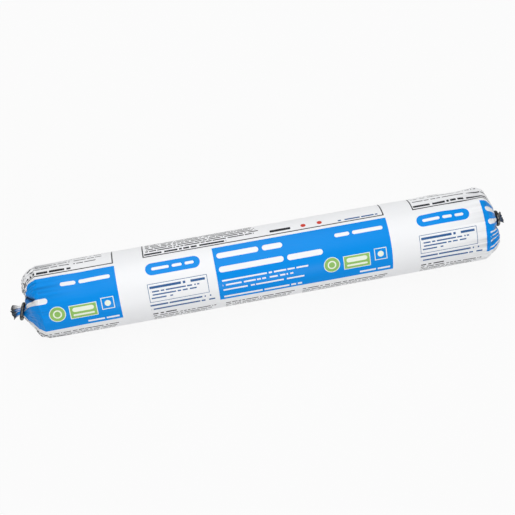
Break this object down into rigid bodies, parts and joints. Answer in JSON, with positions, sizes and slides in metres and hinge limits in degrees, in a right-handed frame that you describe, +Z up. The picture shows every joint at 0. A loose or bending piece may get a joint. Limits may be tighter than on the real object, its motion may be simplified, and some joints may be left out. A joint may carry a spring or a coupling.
{
  "type": "sealant sausage",
  "caption": "Film sausage of building sealant: a white casing printed with blue panels, gathered at both ends into short ruffled tails and closed by small wire clips.",
  "frame": {"origin": "on the resting surface, under the middle of the sausage's whole length", "axes": "+X along the sausage from its left end to its right end, +Z up from the flat it rests on"},
  "size_m": [0.3396, 0.0498, 0.0488],
  "materials": {
    "printed_film": "satin",
    "clip_wire": "satin"
  },
  "bodies": {
    "root": {"filled_casing": "printed_film", "left_clip": "clip_wire", "right_clip": "clip_wire"}
  },
  "joints": []
}
